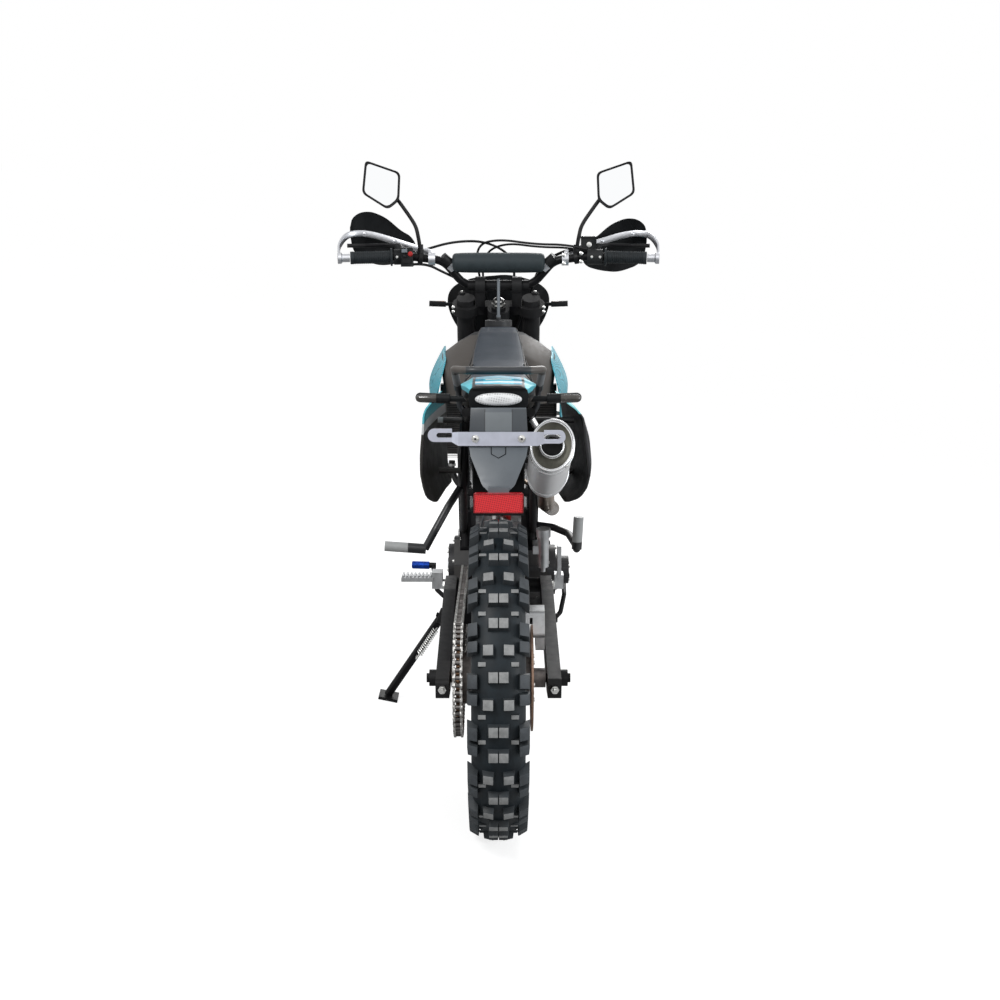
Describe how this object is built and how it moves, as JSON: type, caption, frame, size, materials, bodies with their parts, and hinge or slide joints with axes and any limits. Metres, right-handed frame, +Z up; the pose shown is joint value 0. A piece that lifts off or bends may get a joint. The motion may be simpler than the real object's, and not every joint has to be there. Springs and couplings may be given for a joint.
{
  "type": "dual sport motorcycle",
  "caption": "Knobbly-tyred dual sport motorcycle leaning on its side stand, with turning steering, free wheels and a folding stand.",
  "frame": {"origin": "bottom centre of the parked motorcycle's bounding box, on the floor", "axes": "+Z up, +Y forward along the wheelbase, +X to the rider's right; the motorcycle leans 12 degrees to -X on its side stand"},
  "size_m": [0.8084, 2.1169, 1.4964],
  "materials": {
    "amber_black": "black indicator body",
    "black_plastic": "grained black plastic",
    "blue_plastic": "blue plastic with a printed line pattern",
    "cast_alloy": "cast aluminium",
    "chain_steel": "oiled steel",
    "clear_lens": "clear lens",
    "dark_alloy": "dark anodised aluminium",
    "disc_steel": "used brake disc",
    "exhaust_steel": "heat-tinted steel",
    "frame_black": "satin black paint",
    "grey_plastic": "dark grey plastic",
    "grip_rubber": "ribbed rubber",
    "mirror": "mirror glass",
    "muffler_shell": "satin aluminium",
    "pad_vinyl": "dark grey vinyl over foam",
    "polished_alloy": "polished aluminium",
    "red_lens": "red reflector",
    "rim_black": "black anodised rim",
    "seat_vinyl": "slate vinyl",
    "sprocket_steel": "bronze coloured steel",
    "steel": "bright plated steel",
    "swingarm_black": "black coated aluminium",
    "tank_plastic": "grey brown plastic",
    "tyre_rubber": "knobbly tread"
  },
  "bodies": {
    "root": {"frame": "frame_black", "rear_subframe": "frame_black", "swingarm": "swingarm_black", "rear_axle": "steel", "shock_absorber": "steel", "air_box": "black_plastic", "crankcase": "cast_alloy", "cylinder": "cast_alloy", "radiators": "dark_alloy", "exhaust_pipe": "exhaust_steel", "muffler": "muffler_shell", "fuel_tank": "tank_plastic", "fuel_cap": "black_plastic", "tank_shrouds": "blue_plastic", "seat": "seat_vinyl", "side_panels": "black_plastic", "rear_fender": "black_plastic", "tail_cover": "blue_plastic", "tail_carrier": "grey_plastic", "tail_lamp": "clear_lens", "rear_reflector": "red_lens", "plate_bracket": "steel", "grab_rail": "frame_black", "rear_indicators": "amber_black", "chain": "chain_steel", "footpegs": "steel", "passenger_pegs": "frame_black", "foot_controls": "frame_black", "rear_brake": "cast_alloy"},
    "steering": {"yokes": "dark_alloy", "fork_tubes": "frame_black", "fork_sliders": "steel", "fork_guards": "black_plastic", "front_fender": "black_plastic", "headlight_mask": "black_plastic", "headlamp": "clear_lens", "handlebar": "frame_black", "bar_pad": "pad_vinyl", "grips": "grip_rubber", "bar_controls": "black_plastic", "levers": "polished_alloy", "hand_guards": "black_plastic", "mirrors": "black_plastic", "mirror_glasses": "mirror", "front_indicators": "amber_black", "front_brake": "cast_alloy", "front_axle": "steel"},
    "front_wheel": {"front_tyre": "tyre_rubber", "front_rim": "rim_black", "front_hub": "dark_alloy", "front_disc": "disc_steel"},
    "rear_wheel": {"rear_tyre": "tyre_rubber", "rear_rim": "rim_black", "rear_hub": "dark_alloy", "rear_disc": "disc_steel", "rear_sprocket": "sprocket_steel"},
    "side_stand": {"side_stand": "frame_black"}
  },
  "joints": [
    {"name": "steering", "type": "hinge", "parent": "root", "child": "steering", "pos_m": [0.05442, 0.31482, 0.97101], "axis": [-0.1853, -0.454, 0.8715], "range_deg": [-40, 40]},
    {"name": "front_wheel", "type": "hinge", "parent": "steering", "child": "front_wheel", "pos_m": [0.18677, 0.7065, 0.34836], "axis": [0.9781, 0, 0.2079], "continuous": true},
    {"name": "rear_wheel", "type": "hinge", "parent": "root", "child": "rear_wheel", "pos_m": [0.18823, -0.7135, 0.34152], "axis": [0.9781, 0, 0.2079], "continuous": true},
    {"name": "side_stand", "type": "hinge", "parent": "root", "child": "side_stand", "pos_m": [0.05423, -0.1035, 0.2793], "axis": [-0.9903, 0, 0.1392], "range_deg": [0, 110]}
  ]
}
